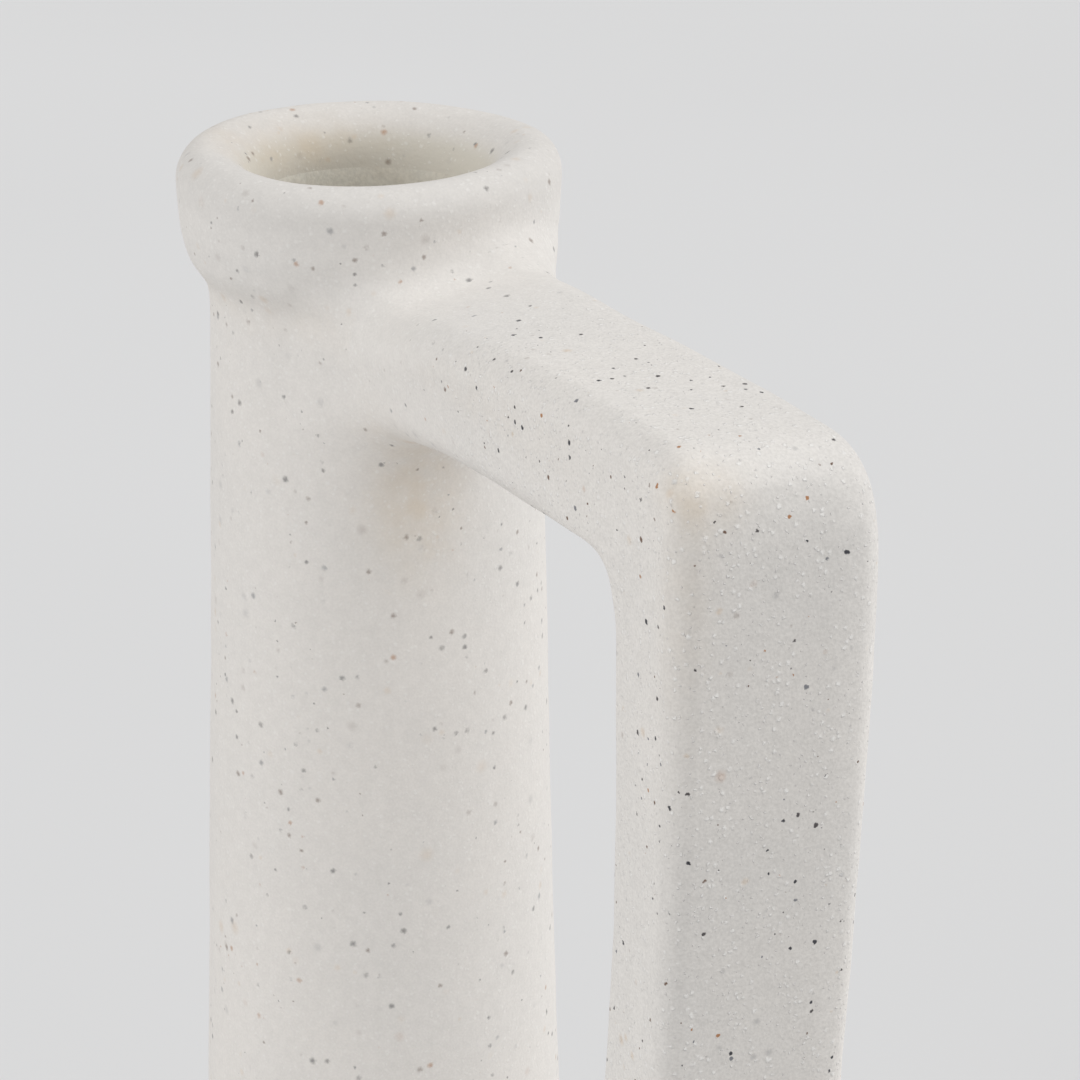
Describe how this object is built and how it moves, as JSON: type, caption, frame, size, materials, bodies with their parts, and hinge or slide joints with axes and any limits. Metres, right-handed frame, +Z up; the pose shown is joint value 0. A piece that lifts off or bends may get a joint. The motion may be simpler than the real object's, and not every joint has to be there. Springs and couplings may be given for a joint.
{
  "type": "pottery bottle vase with strap handle",
  "caption": "Tall round-bodied stoneware bottle vase with a long slender neck, a thick rolled collar and a square-shouldered strap handle; holds stems or dried branches.",
  "frame": {"origin": "centre of the foot ring's standing face, on the vase's axis", "axes": "+Z up along the vase's axis, +X from the axis towards the handle"},
  "size_m": [0.176, 0.176, 0.32],
  "materials": {
    "stoneware": "matte off-white stoneware, fine sandy grain with dark and rust specks",
    "bare_clay": "unglazed fired clay, turned smooth",
    "liner_glaze": "thin khaki-grey liner glaze, satin"
  },
  "bodies": {
    "root": {"foot_ring": "bare_clay", "base_slab": "bare_clay", "body_wall": "stoneware", "shoulder_wall": "stoneware", "neck_wall": "stoneware", "collar": "stoneware", "handle_arm": "stoneware", "handle_upright": "stoneware", "upper_fillet": "stoneware", "lower_fillet": "stoneware", "liner_glaze": "liner_glaze"}
  },
  "joints": []
}
